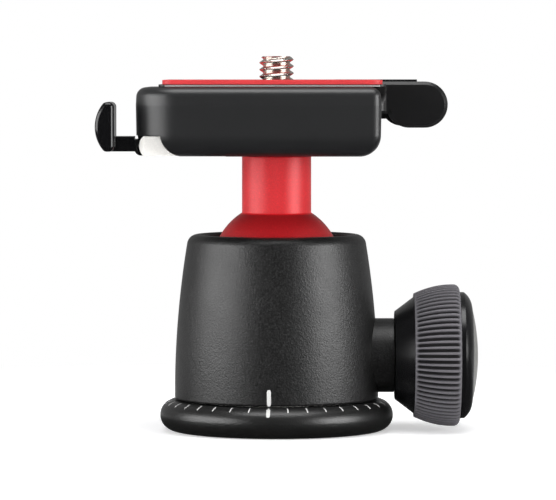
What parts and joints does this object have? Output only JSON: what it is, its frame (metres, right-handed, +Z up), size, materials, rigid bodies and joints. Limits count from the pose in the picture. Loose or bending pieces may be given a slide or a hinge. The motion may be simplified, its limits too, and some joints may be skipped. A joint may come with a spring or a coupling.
{
  "type": "tripod ball head",
  "caption": "Small tripod ball head with a panning base, a side locking knob, and a quick-release clamp that holds a dovetail camera plate.",
  "frame": {"origin": "centre of the base's underside, at the mouth of the tripod socket", "axes": "+Z up the pan axis to the camera screw, +X towards the locking knob, -Y towards the index line"},
  "size_m": [0.0695, 0.0512, 0.0686],
  "materials": {
    "black_anodised": "bead-blasted satin black",
    "black_casting": "satin black",
    "black_collar": "matte black",
    "black_plate": "matte black",
    "black_lever": "satin black",
    "black_steel": "black oxide",
    "red_anodised": "satin red anodised",
    "bright_steel": "turned",
    "spring_steel": "plain",
    "nickel_screw": "nickel plated",
    "brake_brass": "turned",
    "white_nylon": "moulded",
    "grey_acetal": "moulded",
    "matte_grip": "fine matte",
    "gloss_latch": "gloss black",
    "gloss_knob": "gloss black",
    "knob_rubber": "ribbed",
    "red_rubber": "soft matte",
    "satin_disc": "satin"
  },
  "bodies": {
    "base": {"pan_base": "black_anodised", "pan_spindle": "bright_steel", "spindle_screws": "black_steel", "thrust_washer": "white_nylon", "wave_washer": "spring_steel", "retaining_ring": "spring_steel"},
    "housing": {"housing": "black_anodised", "ball_collar": "black_collar", "collar_screws": "black_steel", "knob_bushing": "black_anodised"},
    "cup": {"ball_cup": "grey_acetal"},
    "ball": {"ball_stem": "red_anodised", "clamp_bolt": "black_steel", "bolt_washer": "spring_steel"},
    "clamp": {"clamp_body": "black_casting", "jaw_guides": "bright_steel", "jaw_springs": "spring_steel", "lever_pin": "bright_steel", "lever_washer": "spring_steel", "latch_bush": "white_nylon", "latch_pin": "bright_steel", "latch_spring": "spring_steel"},
    "jaw": {"moving_jaw": "black_casting"},
    "lever": {"lever_arm": "black_lever", "lever_grip": "matte_grip", "grip_screws": "black_steel"},
    "latch": {"safety_latch": "gloss_latch"},
    "plate": {"qr_plate": "black_plate", "grip_pad": "red_rubber"},
    "screw": {"camera_screw": "nickel_screw", "screw_clip": "spring_steel"},
    "plunger": {"lock_plunger": "brake_brass"},
    "knob": {"lock_screw": "bright_steel", "knob_core": "gloss_knob", "knob_grip": "knob_rubber", "knob_washer": "spring_steel", "knob_nut": "bright_steel", "knob_cap": "gloss_knob", "cap_disc": "satin_disc"}
  },
  "joints": [
    {"name": "pan", "type": "hinge", "parent": "base", "child": "housing", "pos_m": [0, 0, 0.0058], "axis": [0, 0, 1], "continuous": true},
    {"name": "ball_spin", "type": "hinge", "parent": "housing", "child": "cup", "pos_m": [0, 0, 0.0299], "axis": [0, 0, 1], "range_deg": [0, 180]},
    {"name": "ball_tilt", "type": "hinge", "parent": "cup", "child": "ball", "pos_m": [0, 0, 0.0299], "axis": [1, 0, 0], "range_deg": [-90, 35]},
    {"name": "stem_swivel", "type": "hinge", "parent": "ball", "child": "clamp", "pos_m": [0, 0, 0.0506], "axis": [0, 0, 1], "continuous": true},
    {"name": "lever_turn", "type": "hinge", "parent": "clamp", "child": "lever", "pos_m": [0.006, 0.02505, 0.059], "axis": [0, 0, 1], "range_deg": [0, 90]},
    {"name": "jaw_slide", "type": "slide", "parent": "clamp", "child": "jaw", "axis": [0, 1, 0], "range_m": [0, 0.0016]},
    {"name": "latch_press", "type": "hinge", "parent": "clamp", "child": "latch", "pos_m": [-0.0215, -0.014, 0.0518], "axis": [0, 1, 0], "range_deg": [0, 6], "stiffness_Nm_per_rad": 0.05, "springref_deg": -5.73},
    {"name": "plate_slide", "type": "slide", "parent": "clamp", "child": "plate", "axis": [1, 0, 0], "range_m": [0, 0.0075]},
    {"name": "screw_turn", "type": "hinge", "parent": "plate", "child": "screw", "pos_m": [0, 0, 0.062], "axis": [0, 0, 1], "continuous": true},
    {"name": "lock_travel", "type": "slide", "parent": "housing", "child": "plunger", "axis": [1, 0, 0], "range_m": [0, 0.00075]},
    {"name": "knob_turn", "type": "hinge", "parent": "plunger", "child": "knob", "pos_m": [0.029, 0, 0.0137], "axis": [1, 0, 0], "range_deg": [0, 270]}
  ],
  "couplings": [
    {"joint": "lever_turn", "follows": "jaw_slide", "rad_per_m": 981.74},
    {"joint": "knob_turn", "follows": "lock_travel", "rad_per_m": 6283.1}
  ]
}
